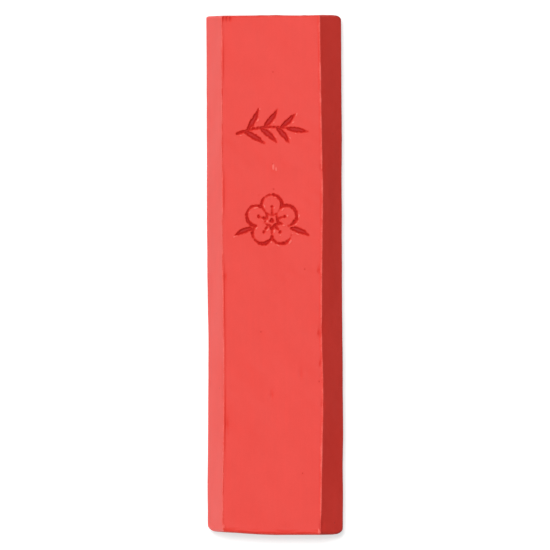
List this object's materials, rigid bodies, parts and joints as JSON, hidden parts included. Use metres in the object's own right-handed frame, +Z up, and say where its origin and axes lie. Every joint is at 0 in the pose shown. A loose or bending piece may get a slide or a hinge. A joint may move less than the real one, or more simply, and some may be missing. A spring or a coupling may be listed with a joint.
{
  "type": "ink stick",
  "caption": "Solid bar of pressed vermilion ink, hexagonal in section, with bevelled sides and shallow plant motifs pressed into its front face; ground with water for writing.",
  "frame": {"origin": "middle of the flat back face that the bar lies on, which is the middle of the box's bottom", "axes": "+X across the bar to the right of the front face, +Y along the bar towards the end with the motifs, +Z up out of the front face"},
  "size_m": [0.0244, 0.094, 0.011],
  "materials": {
    "vermilion_ink": "matte"
  },
  "bodies": {
    "root": {"bar": "vermilion_ink"}
  },
  "joints": []
}
